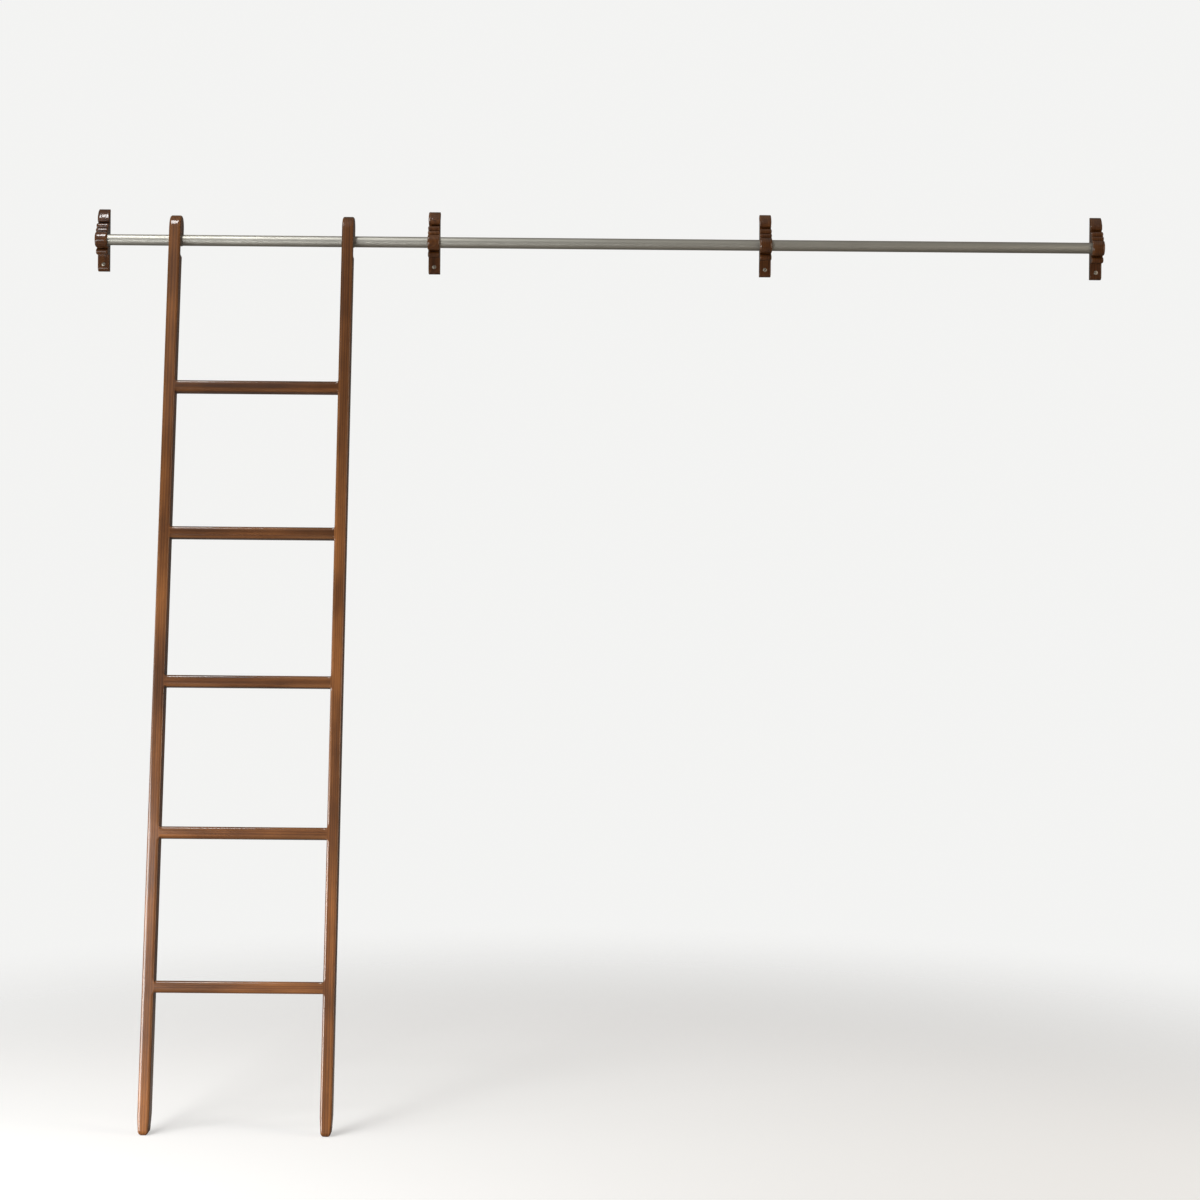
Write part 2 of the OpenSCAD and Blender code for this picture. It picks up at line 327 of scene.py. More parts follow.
def slab(outline, half, edges=None, flat_tops=(), bulge=None, support=1 * MM, wells=None):
    """A board cut to an outline, with rounded edges. half is half its thickness.
    edges(side, v, u, edge) may change an edge's radius, and bulge(edge) says how far a side
    stands out beside the edge. A strip as wide as support lies between the rounding and the
    flat of the side. wells(solid, side) makes a side's holes, and gives back their rims."""
    solid = Solid()
    ways = inward(outline, flat_tops)
    rows, sides = [], {-1: [], 1: []}
    for (v, u, edge), way in zip(outline, ways):
        radius = {s: edges(s, v, u, edge) if edges else edge for s in sides}
        out = half + (bulge(edge) if bulge else 0)
        row = {-1: [], 1: []}
        for s in sides:
            r = radius[s]
            inset = r + support
            rim = solid.vertex(s * half, v + way.x * inset, u + way.y * inset)
            row[s].append(rim)
            sides[s].append(rim)
            for k, (across, into) in enumerate(quarter(r)):
                # Painted highlight and wear: each rounded edge is painted lighter, most half way
                # round
                wear_and_highlight = rubbing_and_highlight(k) if r > 0.5 * MM else 0.3
                place = (s * (out - across), v + way.x * into, u + way.y * into)
                row[s].append(solid.vertex(*place, wear_and_highlight))
        left, right = -(out - radius[-1]), out - radius[1]
        middle = [solid.vertex(left + (right - left) * f, v, u) for f in (0.14, 0.5, 0.86)]
        rows.append(row[-1] + middle + row[1][::-1])
    for row, following in zip(rows, rows[1:] + rows[:1]):
        solid.strip(row, following)
    for s in sides:
        solid.cap(sides[s], wells(solid, s) if wells else ())
    return solid


def make(name, mesh, material, body, slot):
    """A piece of the object, on its body, in place of the CAD node of that name."""
    piece = bpy.data.objects.new(f"{name}_{slot.split('_')[1]}", mesh)
    bpy.context.scene.collection.objects.link(piece)
    piece.data.materials.append(material)
    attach(piece, body)
    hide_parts(name)
    return piece


def join(name, meshes):
    """One mesh out of several."""
    bm = bmesh.new()
    for mesh in meshes:
        bm.from_mesh(mesh)
    made = bpy.data.meshes.new(name)
    bm.to_mesh(made)
    bm.free()
    return made


# ---- Materials ----


class Shader:
    """A material's nodes. An input is given as a number, a colour or another node's output."""

    def __init__(self, name):
        self.material = bpy.data.materials.new(name)
        self.material.use_nodes = True
        self.tree = self.material.node_tree
        self.tree.nodes.clear()

    def node(self, kind, inputs=(), **settings):
        made = self.tree.nodes.new("ShaderNode" + kind)
        for key, value in settings.items():
            setattr(made, key, value)
        for key, value in dict(inputs).items():
            if isinstance(value, bpy.types.NodeSocket):
                self.tree.links.new(value, made.inputs[key])
            else:
                made.inputs[key].default_value = value
        return made

    def attribute(self, name, output="Fac"):
        return self.node("Attribute", attribute_name=name).outputs[output]

    def stretched(self, vector, scale):
        return self.node("Mapping", {"Vector": vector, "Scale": scale}).outputs["Vector"]

    def noise(self, vector, scale, detail=3.0, roughness=0.5, distortion=0.0):
        inputs = {"Vector": vector, "Scale": scale, "Detail": detail, "Roughness": roughness}
        inputs["Distortion"] = distortion
        return self.node("TexNoise", inputs).outputs["Fac"]

    def math(self, operation, a, b=0.0, c=0.0):
        made = self.node("Math", {0: a, 1: b, 2: c}, operation=operation)
        return made.outputs[0]

    def spread(self, value, low, high, to_low=0.0, to_high=1.0):
        inputs = {"Value": value, "From Min": low, "From Max": high}
        inputs.update({"To Min": to_low, "To Max": to_high})
        return self.node("MapRange", inputs).outputs["Result"]

    def mix(self, factor, a, b, blend="MIX"):
        made = self.node("Mix", {"Factor": factor}, data_type="RGBA", blend_type=blend)
        for socket, value in ((made.inputs[6], a), (made.inputs[7], b)):
            if isinstance(value, bpy.types.NodeSocket):
                self.tree.links.new(value, socket)
            else:
                socket.default_value = (*value, 1)
        return made.outputs[2]

    def ramp(self, factor, stops):
        made = self.node("ValToRGB", {"Fac": factor})
        elements = made.color_ramp.elements
        while len(elements) < len(stops):
            elements.new(0.5)
        for element, (position, colour) in zip(elements, stops):
            element.position = position
            element.color = (*colour, 1)
        return made.outputs["Color"]

    def bump(self, height, strength, distance):
        inputs = {"Height": height, "Strength": strength, "Distance": distance}
        return self.node("Bump", inputs).outputs["Normal"]

    def finish(self, **inputs):
        """Adds the Principled shader. Underscores in a name stand for spaces."""
        named = {key.replace("_", " "): value for key, value in inputs.items()}
        shader = self.node("BsdfPrincipled", named)
        output = self.node("OutputMaterial")
        self.tree.links.new(shader.outputs[0], output.inputs["Surface"])
        return self.material


def wood(name, stops, worn_and_highlight, rough, coat, coat_rough):
    """Stained and varnished hardwood: figure, growth rings, fibres, pores, darker blotches of
    stain, and arrises painted lighter for both rubbing and a painted highlight. The grain runs
    along the third of the grain coordinates."""
    s = Shader(name)
    grain = s.attribute("grain", "Vector")
    tone = s.attribute("tone")
    wear_and_highlight = s.attribute("wear_and_highlight")
    long_figure = s.stretched(grain, (1, 1, 0.05))
    fibre_space = s.stretched(grain, (1, 1, 0.012))
    pore_space = s.stretched(grain, (1, 1, 0.07))
    figure = s.noise(long_figure, 55, detail=4, roughness=0.55, distortion=0.5)
    blotches = s.noise(s.stretched(grain, (1, 1, 0.5)), 12, detail=2)
    ring_space = s.stretched(grain, (1, 1, 0.02))
    rings = s.node(
        "TexWave",
        {"Vector": ring_space, "Scale": 62, "Distortion": 7, "Detail": 3, "Detail Scale": 0.8},
        wave_type="RINGS",
        rings_direction="Z",
    ).outputs["Fac"]
    fibres = s.noise(fibre_space, 1100, detail=3, roughness=0.6)
    pores = s.spread(s.noise(pore_space, 1500, detail=2), 0.60, 0.70)

    level = s.math("MULTIPLY_ADD", figure, 0.54, tone)
    level = s.math("MULTIPLY_ADD", rings, 0.16, level)
    level = s.math("MULTIPLY_ADD", fibres, 0.20, level)
    level = s.math("MULTIPLY_ADD", blotches, 0.80, level)
    colour = s.ramp(s.spread(level, 0.53, 1.18), stops)
    colour = s.mix(s.math("MULTIPLY", pores, 0.55), colour, (0.35, 0.30, 0.28), blend="MULTIPLY")
    # Arrises painted lighter: partly rubbed wear, partly a painted highlight along the edges
    rubbed_and_highlight = s.math("MULTIPLY", wear_and_highlight, s.spread(s.noise(long_figure, 90, detail=4), 0.38, 0.72))
    colour = s.mix(s.math("MULTIPLY", rubbed_and_highlight, 0.55), colour, worn_and_highlight)

    gloss = s.spread(fibres, 0.3, 0.7, rough - 0.05, rough + 0.06)
    gloss = s.math("MULTIPLY_ADD", pores, 0.15, gloss)
    gloss = s.math("MULTIPLY_ADD", blotches, 0.08, gloss)
    relief = s.math("MULTIPLY_ADD", pores, -0.8, s.math("MULTIPLY", fibres, 0.5))
    return s.finish(
        Base_Color=colour,
        Roughness=gloss,
        Specular_IOR_Level=0.12,
        Coat_Weight=coat,
        Coat_Roughness=coat_rough,
        Coat_IOR=1.45,
        Normal=s.bump(relief, 0.35, 0.0002),
    )


def ladder_wood():
    stops = [
        (0.0, (0.026, 0.009, 0.003)),
        (0.5, (0.100, 0.036, 0.010)),
        (1.0, (0.225, 0.084, 0.022)),
    ]
    # Colour painted on the arrises: partly rubbed wear, partly a painted highlight
    worn_and_highlight = (0.26, 0.115, 0.042)
    return wood("ladder_wood", stops, worn_and_highlight, rough=0.42, coat=0.8, coat_rough=0.11)


def bracket_wood():
    stops = [
        (0.0, (0.022, 0.007, 0.002)),
        (0.5, (0.078, 0.026, 0.006)),
        (1.0, (0.150, 0.055, 0.013)),
    ]
    # Colour painted on the arrises: partly rubbed wear, partly a painted highlight
    worn_and_highlight = (0.19, 0.08, 0.028)
    return wood("bracket_wood", stops, worn_and_highlight, rough=0.36, coat=1.0, coat_rough=0.14)


def plug_wood():
    """Varnished end grain: rings seen end on, and round pores."""
    s = Shader("plug_wood")
    place = s.node("TexCoord").outputs["Object"]
    rings = s.node(
        "TexWave",
        {"Vector": s.stretched(place, (0.3, 1, 1)), "Scale": 130, "Distortion": 5, "Detail": 2},
        wave_type="BANDS",
        bands_direction="DIAGONAL",
    ).outputs["Fac"]
    pores = s.spread(s.noise(place, 1800, detail=2), 0.58, 0.66)
    faint_rings = s.math("MULTIPLY", rings, 0.4)
    level = s.math("MULTIPLY_ADD", s.noise(place, 60, detail=3), 0.6, faint_rings)
    colour = s.ramp(level, [(0.2, (0.045, 0.015, 0.005)), (0.8, (0.120, 0.044, 0.013))])
    colour = s.mix(s.math("MULTIPLY", pores, 0.7), colour, (0.3, 0.26, 0.24), blend="MULTIPLY")
    rough = s.spread(pores, 0, 1, 0.42, 0.6)
    return s.finish(
        Base_Color=colour,
        Roughness=rough,
        Specular_IOR_Level=0.12,
        Coat_Weight=1.0,
        Coat_Roughness=0.14,
        Coat_IOR=1.45,
        Normal=s.bump(s.math("MULTIPLY", pores, -1.0), 0.3, 0.0002),
    )


def tube_steel():
    """Satin steel, brushed along the tube, with faint handling marks."""
    s = Shader("tube_steel")
    place = s.node("TexCoord").outputs["Object"]
    brushing = s.noise(s.stretched(place, (0.01, 1, 1)), 2600, detail=4, roughness=0.7)
    marks = s.noise(s.stretched(place, (0.6, 1, 1)), 14, detail=5, roughness=0.6)
    scratches = s.spread(s.noise(s.stretched(place, (0.05, 1, 1)), 900, detail=2), 0.68, 0.74)
    colour = s.mix(s.spread(marks, 0.3, 0.75), (0.52, 0.515, 0.465), (0.44, 0.43, 0.385))
    rough = s.spread(brushing, 0.25, 0.75, 0.43, 0.51)
    rough = s.math("MULTIPLY_ADD", marks, 0.08, rough)
    relief = s.math("MULTIPLY_ADD", scratches, -0.5, brushing)
    return s.finish(
        Base_Color=colour,
        Metallic=1.0,
        Roughness=rough,
        Normal=s.bump(relief, 0.02, 0.0001),
    )


def screw_steel():
    """Dull zinc with a slight yellow bloom and darker spots."""
    s = Shader("screw_steel")
    place = s.node("TexCoord").outputs["Object"]
    bloom = s.noise(place, 260, detail=4, roughness=0.6)
    spots = s.spread(s.noise(place, 900, detail=3), 0.60, 0.70)
    colour = s.mix(bloom, (0.38, 0.36, 0.31), (0.27, 0.24, 0.19))
    colour = s.mix(s.math("MULTIPLY", spots, 0.5), colour, (0.10, 0.08, 0.06))
    rough = s.spread(bloom, 0.3, 0.7, 0.42, 0.58)
    return s.finish(
        Base_Color=colour,
        Metallic=1.0,
        Roughness=rough,
        Normal=s.bump(bloom, 0.15, 0.0001),
    )


# ---- Ladder ----


def on_ladder(x=0.0):
    """Turns the ladder's (x, v, u) into the row frame."""
    return Matrix.Translation((x, RAIL_Y, RAIL_Z)) @ Matrix.Rotation(-LEAN, 4, "X")


def ladder_place(node):
    """(v, u) of the middle of a node's box."""
    lo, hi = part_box(node)
    place = on_ladder().inverted() @ ((lo + hi) / 2)
    return place.y, place.z


def stile_x(side_name):
    lo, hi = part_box(f"{side_name}_stile")
    return (lo.x + hi.x) / 2


def floor_u(v):
    """How far down the stile the floor is."""
    return (-RAIL_Z + v * math.sin(LEAN)) / math.cos(LEAN)


RUNG_US = [ladder_place(rung)[1] for rung in RUNGS]


def front_stations(low, high):
    """The points of the outline's front line, close together where the arris runs out beside
    each rung."""
    fine = [0.25 * MM * k * k for k in range(1, 6)] + [ROUTER_R, 10 * MM, 14 * MM, 20 * MM]
    stations = []
    for u in RUNG_US:
        edge = RUNG_H / 2
        stations += [u - edge + 0.05 * MM, u + edge - 0.05 * MM, u - edge, u + edge]
        for distance in fine:
            stations += [u - edge - distance, u + edge + distance]
    return [(-FRONT, u, ARRIS_R) for u in sorted(stations) if low < u < high]


def seat_to_lap():
    """The angle at which the tube's seat meets the lap joint."""
    return angle_from((0, 0), (LAP_V, math.sqrt(SEAT_R**2 - LAP_V**2)))


def stile_outline():
    toe, heel = (-FRONT, floor_u(-FRONT)), (SEAT_R, floor_u(SEAT_R))
    foot = fillet(heel, toe, (-FRONT, 0), TOE_R, FOOT_SIDE_R, ARRIS_R)
    head_start = HEAD_TOP - HEAD_FRONT_R
    throat_corner, ledge_corner = (-SEAT_R, -THROAT_DROP), (SEAT_R, -THROAT_DROP)
    outline = foot + front_stations(foot[-1][1], head_start)
    outline += arc((LAP_V, head_start), HEAD_FRONT_R, 180, 90, ARRIS_R)
    outline += [(LAP_V, HEAD_TOP - ARRIS_R, 0), (LAP_V, 25 * MM, 0)]
    outline += arc((0, 0), SEAT_R, seat_to_lap(), 180, SEAT_ARRIS_R)
    outline += fillet((-SEAT_R, 0), throat_corner, ledge_corner, THROAT_R, SEAT_ARRIS_R)
    outline += fillet(throat_corner, ledge_corner, heel, 5 * MM, SEAT_ARRIS_R, 3 * MM)
    outline += [(SEAT_R, -60 * MM, ARRIS_R - 1 * MM)]
    outline += fillet(ledge_corner, heel, toe, TOE_R, ARRIS_R - 1 * MM, FOOT_SIDE_R)
    return clean(outline)


def apex_of(outline):
    """The outline's point where the head's two arcs meet, at the top of the lap joint."""
    return min(range(len(outline)), key=lambda k: math.dist(outline[k][:2], (LAP_V, HEAD_TOP)))


def narrow_foot(solid):
    """Leans the sides of a stile's foot in towards the floor."""
    bm = solid.bm
    up = Vector((0, -math.sin(LEAN), math.cos(LEAN)))
    for height in (FOOT_TAPER_H, FOOT_TAPER_H / 2, FOOT_TAPER_H / 4):
        parts = [*bm.verts, *bm.edges, *bm.faces]
        level = up * (height - RAIL_Z)
        bmesh.ops.bisect_plane(bm, geom=parts, dist=1e-7, plane_co=level, plane_no=up)
    for vertex in bm.verts:
        drop = FOOT_TAPER_H - (RAIL_Z + up.dot(vertex.co))
        if drop > 0:
            vertex.co.x *= 1 - drop * math.tan(FOOT_LEAN) / STILE_HALF


def stile(side_name, material):
    """A stile with its hook's front half, its mortises and the holes for its plugs."""
    side = SIDES[side_name]
    outline = stile_outline()

    def edges(s, v, u, edge):
        inner_front = s == -side and v < -FRONT + 1e-6
        gaps = [abs(u - rung_u) - RUNG_H / 2 for rung_u in RUNG_US]
        if not inner_front or min(gaps) > ROUTER_R:
            return edge
        return 0.0 if min(gaps) < -0.01 * MM else routed(min(gaps))

    def wells(solid, s):
        rims = []
        for rung_u in RUNG_US:
            if s == side:
                shape = circle((RUNG_V, rung_u), PLUG_HOLE_R, 32)
                depth = PLUG_HOLE_DEPTH
            else:
                shape = rectangle((RUNG_V, rung_u), TENON_D, TENON_H)
                depth = TENON_L + MORTISE_SPARE
            rings = [(s * STILE_HALF, shape), (s * (STILE_HALF - depth), shape)]
            rims.append(solid.well(rings)[0])
        return rims

    solid = slab(outline, STILE_HALF, edges, [apex_of(outline)], wells=wells)
    narrow_foot(solid)
    offset = (0.13 + 0.31 * side, 0.07 * side, 0.9 * side)
    name = f"{side_name}_stile"
    mesh = solid.mesh(name, on_ladder(stile_x(side_name)), 2, offset, 0.06)
    make(name, mesh, material, "ladder", "ladder_wood")


def hook_outline():
    beak = (SEAT_R + BEAK_R, BEAK_R - BEAK_DROP)
    seat_meets_beak = 6
    outline = arc((LAP_V, HEAD_TOP - HEAD_BACK_R), HEAD_BACK_R, 90, 0, ARRIS_R)
    outline += arc(beak, BEAK_R, 0, -180, ARRIS_R, 3 * MM)[:-1]
    outline += arc((0, 0), SEAT_R, seat_meets_beak, seat_to_lap(), SEAT_ARRIS_R)
    outline += [(LAP_V, 25 * MM, 0), (LAP_V, HEAD_TOP - ARRIS_R, 0)]
    return clean(outline)


def hook(side_name, material):
    """The block behind a stile's head that reaches over the tube and down behind it."""
    side = SIDES[side_name]
    outline = hook_outline()
    solid = slab(outline, STILE_HALF, flat_tops=[apex_of(outline)])
    offset = (0.45 - 0.2 * side, 0.3 + 0.1 * side, 1.7 * side)
    name = f"{side_name}_hook"
    mesh = solid.mesh(name, on_ladder(stile_x(side_name)), 2, offset, 0.0)
    make(name, mesh, material, "ladder", "ladder_wood")


def rung_section(r):
    """The rung's outline with its corners rounded, clockwise from its lower front corner.
    Each point is (v, u, how much lighter it is painted for wear and a painted highlight)."""
    v0, v1, u0, u1 = -FRONT, -FRONT + RUNG_DEPTH, -RUNG_H / 2, RUNG_H / 2
    corners = [
        (Vector((v0 + r, u0 + r)), 270),
        (Vector((v0 + r, u1 - r)), 180),
        (Vector((v1 - r, u1 - r)), 90),
        (Vector((v1 - r, u0 + r)), 0),
    ]

    def at(centre, degrees):
        a = math.radians(degrees)
        return centre + r * Vector((math.cos(a), math.sin(a)))

    points = []
    for k, (centre, start) in enumerate(corners):
        for step in range(QUARTER_STEPS + 1):
            points.append((*at(centre, start - 90 * step / QUARTER_STEPS), rubbing_and_highlight(step)))
        here = at(centre, start - 90)
        there = at(*corners[(k + 1) % 4])
        points += [(*here.lerp(there, f), 0.0) for f in (0.12, 0.5, 0.88)]
    return points


def rung(name, material, index):
    """A rung whose rounded edges run out beside the stiles, with a tenon at each end."""
    lo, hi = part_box(name)
    half = (hi.x - lo.x) / 2 - TENON_L
    near_end = [0.2 * MM * k * k for k in range(7)] + [10 * MM, 14 * MM, 22 * MM]
    inner = [half * f for f in (0.0, 0.2, 0.4, 0.6, 0.75)]
    reaches = [half - d for d in near_end] + inner
    stations = sorted({s * x for x in reaches for s in (-1, 1)})
    solid = Solid()
    rows = []
    for x in stations:
        section = rung_section(routed(half - abs(x), RUNG_ARRIS_R))
        rows.append([solid.vertex(x, v, u, wear_and_highlight) for v, u, wear_and_highlight in section])
    for row, following in zip(rows, rows[1:]):
        solid.strip(row, following, closed=True)
    for s, row in ((-1, rows[0]), (1, rows[-1])):
        shoulder = rectangle((RUNG_V, 0), TENON_D, TENON_H)
        tip = rectangle((RUNG_V, 0), TENON_D - 2 * TENON_CHAMFER, TENON_H - 2 * TENON_CHAMFER)
        end = half + TENON_L
        tenon = solid.well([(s * half, shoulder), (s * (end - 1 * MM), shoulder), (s * end, tip)])
        solid.cap(row, [tenon[0]])
    place = on_ladder((lo.x + hi.x) / 2) @ Matrix.Translation((0, 0, RUNG_US[index]))
    offset = (0.23 * index, 0.4 - 0.11 * index, 1.3 * index)
    tone = -0.07 + 0.015 * (4 - index)
    mesh = solid.mesh(name, place, 0, offset, tone)
    make(name, mesh, material, "ladder", "ladder_wood")


def button(radius, depth, proud, steps=32):
    """A round plug along +X with a slightly domed face, its flat end at x = -depth."""
    solid = Solid()
    chamfer = 0.25 * MM
    dome = [(radius - chamfer) * f for f in (1.0, 0.8, 0.5, 0.2)]
    rings = [(-depth, radius - chamfer), (-depth + chamfer, radius), (-chamfer, radius)]
    rings += [(proud * (1 - (r / radius) ** 2), r) for r in dome]
    rows = [[solid.vertex(x, v, u) for v, u in circle((0, 0), r, steps)] for x, r in rings]
    for row, following in zip(rows, rows[1:]):
        solid.strip(row, following, closed=True)
    solid.face(rows[0])
    tip = solid.vertex(proud, 0, 0)
    for k in range(steps):
        solid.face((rows[-1][k], rows[-1][(k + 1) % steps], tip))
    return solid


def rung_plugs(side_name, material):
    side = SIDES[side_name]
    face = stile_x(side_name) + side * STILE_HALF
    meshes = []
    for rung_u in RUNG_US:
        turned = Matrix.Rotation(0 if side > 0 else math.pi, 4, "Z")
        place = on_ladder(face) @ Matrix.Translation((0, RUNG_V, rung_u)) @ turned
        solid = button(PLUG_R, PLUG_L, PLUG_PROUD)
        meshes.append(solid.mesh("plug", place, 0, (0, 0, rung_u), 0.0))
    name = f"{side_name}_rung_plugs"
    make(name, join(name, meshes), material, "ladder", "plug_wood")


# ---- Rail ----


def rail(material):
    """The tube, its ends deburred inside and out."""
    wall, ease = 1.5 * MM, 0.4 * MM
    inner = TUBE_R - wall
    left, right = tube_lo.x, tube_hi.x
    outside = (left + ease, -0.5, 0, 0.5, right - ease)
    profile = [(x, TUBE_R) for x in outside]
    profile += [(right, TUBE_R - ease), (right, inner + ease), (right - ease, inner)]
    profile += [(left + ease, inner), (left, inner + ease), (left, TUBE_R - ease)]
    solid = Solid()
    rows = [[solid.vertex(x, v, u) for v, u in circle((0, 0), r, 96)] for x, r in profile]
    for row, following in zip(rows, rows[1:] + rows[:1]):
        solid.strip(row, following, closed=True)
    mesh = solid.mesh("rail_tube", Matrix.Translation((0, RAIL_Y, RAIL_Z)), 0, (0, 0, 0), 0.0)
    make("rail_tube", mesh, material, "rail", "tube_steel")


# ---- Brackets ----

# The centres and radii of the carved profile's arcs, from the tube's axis
NOSE_R = 38 * MM
NOSE_V = NOSE_R - 23 * MM
NOSE = (NOSE_V, BRACKET_TOP - math.sqrt(NOSE_R**2 - NOSE_V**2))
LIP_R = 4 * MM
LIP_Z = 46.5 * MM
LIP = (NOSE_V - math.sqrt((NOSE_R - LIP_R) ** 2 - (LIP_Z - NOSE[1]) ** 2), LIP_Z)
REED_R = 6.8 * MM
UPPER_REED = (-34 * MM + REED_R, 31.5 * MM)
LOWER_REED = (-42 * MM + REED_R, 20.3 * MM)
BEAD_R = 17.5 * MM
BEAD = (-59 * MM + BEAD_R, 0.0)
STEP_R = 6.5 * MM
STEP = (-40 * MM + STEP_R, -26.5 * MM)


def bracket_outline():
    """Tail plate, step, main bead, two reeds, neck and nose, from the bottom up.
    Each bead's edges are rounder at its crest."""
    groove, tail = 1.2 * MM, 2.2 * MM
    bead_reed = circles_meet(BEAD, BEAD_R, LOWER_REED, REED_R)
    bottom_back, bottom_front = (0, -BRACKET_DROP), (-TAIL_T, -BRACKET_DROP)
    under_step = (-TAIL_T, STEP[1] - STEP_R)
    step_bottom = (STEP[0], STEP[1] - STEP_R)
    top_back = angle_from(NOSE, (0, BRACKET_TOP))
    outline = [(0, -BRACKET_DROP, 0.5 * MM)]
    outline += fillet(bottom_back, bottom_front, under_step, 8 * MM, 1 * MM, tail)
    outline += [(-TAIL_T, -58 * MM, tail), (-TAIL_T, -40 * MM, tail)]
    outline += fillet(bottom_front, under_step, step_bottom, 2.5 * MM, tail, groove)
    outline += arc(STEP, STEP_R, 270, 118, groove, 2.6 * MM)
    outline += [(-31.4 * MM, -19.2 * MM, groove), (-30.2 * MM, -17.4 * MM, groove)]
    bead_end = angle_from(BEAD, bead_reed) - 360
    reed_start = angle_from(LOWER_REED, bead_reed) % 360
    neck = ((-15.4, 38.6), (-14.2, 40.4), (-15.2, 42.1))
    outline += arc(BEAD, BEAD_R, -50, bead_end, groove, 4.4 * MM)
    outline += arc(LOWER_REED, REED_R, reed_start, 88, groove, 3.6 * MM)
    outline += arc(UPPER_REED, REED_R, 222, 84, groove, 3.6 * MM)
    outline += [(v * MM, u * MM, groove) for v, u in neck]
    outline += arc(LIP, LIP_R, 268, angle_from(NOSE, LIP) + 1, groove)
    outline += arc(NOSE, NOSE_R, angle_from(NOSE, LIP), top_back, groove, 4.4 * MM)
    outline += [(0, 40 * MM, 0.5 * MM), (0, 0, 0.5 * MM), (0, -40 * MM, 0.5 * MM)]
    return clean(outline)


def on_bracket(name):
    lo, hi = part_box(name)
    return Matrix.Translation(((lo.x + hi.x) / 2, POST_Y, RAIL_Z))


def bracket(name, material, index):
    """A carved bracket, with a blind socket for the tube's end or a bore right through."""
    half = BRACKET_HALF - BRACKET_BULGE
    open_sides = {0: (1,), len(BRACKETS) - 1: (-1,)}.get(index, (-1, 1))
    axis = (-STANDOFF, 0)
    rim, bore = circle(axis, BORE_R + BORE_RIM), circle(axis, BORE_R)
    rims = {}

    def wells(solid, s):
        if s not in open_sides:
            return []
        if s not in rims:
            mouth = [(s * half, rim), (s * (half - BORE_RIM), bore)]
            if len(open_sides) == 1:
                bottom = (s * (BRACKET_HALF - SOCKET_DEPTH), bore)
                rims[s] = solid.well([*mouth, bottom])[0]
            else:
                far_mouth = [(-s * (half - BORE_RIM), bore), (-s * half, rim)]
                rows = solid.well(mouth + far_mouth, through=True)
                rims[s], rims[-s] = rows[0], rows[-1]
        return [rims[s]]

    def bulge(edge):
        return BRACKET_BULGE * min(1.0, max(0.0, edge - 1.2 * MM) / (2.4 * MM))

    solid = slab(bracket_outline(), half, bulge=bulge, support=2.4 * MM, wells=wells)
    offset = (0.17 * index, 0.6 - 0.2 * index, 0.37 * index)
    mesh = solid.mesh(name, on_bracket(name), 2, offset, -0.03 + 0.02 * index)
    make(name, mesh, material, "brackets", "bracket_wood")


def bracket_plugs(material):
    """Plugs whose faces follow the nose, over the upper screws."""
    meshes = []
    face_radii = [PLUG_R * f for f in (0.25, 0.5, 0.75, 0.93, 1.0)]
    rings = [(r, True) for r in face_radii] + [(PLUG_R, False)]
    for name in BRACKETS:
        solid = Solid()
        rows = []
        for r, on_face in rings:
            row = []
            for x, dz in circle((0, 0), r, 32):
                height = UPPER_SCREW_Z + dz - NOSE[1]
                face = NOSE[0] - math.sqrt(NOSE_R**2 - height**2)
                ease = 0.3 * MM * max(0.0, r / PLUG_R - 0.9) / 0.1
                y = face - PLUG_PROUD + ease if on_face else -UPPER_SCREW_HEAD
                row.append(solid.vertex(x, y, UPPER_SCREW_Z + dz))
            rows.append(row)
        for row, following in zip(rows, rows[1:]):
            solid.strip(row, following, closed=True)
        solid.face(rows[-1])
        solid.face(rows[0])
        meshes.append(solid.mesh("plug", on_bracket(name), 1, (0, 0, 0), 0.0))
    name = "bracket_plugs"
    make(name, join(name, meshes), material, "brackets", "plug_wood")


# ---- Screws ----


def screw_solid(shank_l, thread_l, steps=24):
    """A raised-head wood screw along +Y, the head's rim at y = 0.
    Its thread ends in a drawn tip."""
    solid = Solid()
    proud, sink, pitch, root = 0.9 * MM, 3.2 * MM, 2.2 * MM, 1.75 * MM
    tip_l = 5 * MM
    dome = [(-proud * (1 - f * f), SCREW_HEAD_R * f) for f in (0.3, 0.6, 0.85, 0.96)]
    rings = dome + [(0, SCREW_HEAD_R), (0.3 * MM, SCREW_HEAD_R)]
    rings += [(sink, SCREW_R), (shank_l - 1 * MM, SCREW_R)]
    rows = [[solid.vertex(x, y, z) for x, z in circle((0, 0), r, steps)] for y, r in rings]
    turns = thread_l / pitch
    count = round(turns * 10)
    for k in range(count):
        y = shank_l + (thread_l - 0.2 * MM) * k / count
        left = shank_l + thread_l - y
        taper = min(1.0, left / tip_l)
        row = []
        for n in range(steps):
            phase = (y / pitch - n / steps) % 1.0
            ridge = max(0.0, 1 - abs(phase - 0.5) / 0.28)
            lead_in = min(1.0, (y - shank_l) / pitch)
            r = (root + (SCREW_R - root) * ridge * lead_in) * taper
            a = 2 * math.pi * n / steps
            row.append(solid.vertex(r * math.cos(a), y, r * math.sin(a)))
        rows.append(row)
    for row, following in zip(rows, rows[1:]):
        solid.strip(row, following, closed=True)
    for row, y in ((rows[0], -proud), (rows[-1], shank_l + thread_l)):
        tip = solid.vertex(0, y, 0)
        for k in range(steps):
            solid.face((row[k], row[(k + 1) % steps], tip))
    return solid


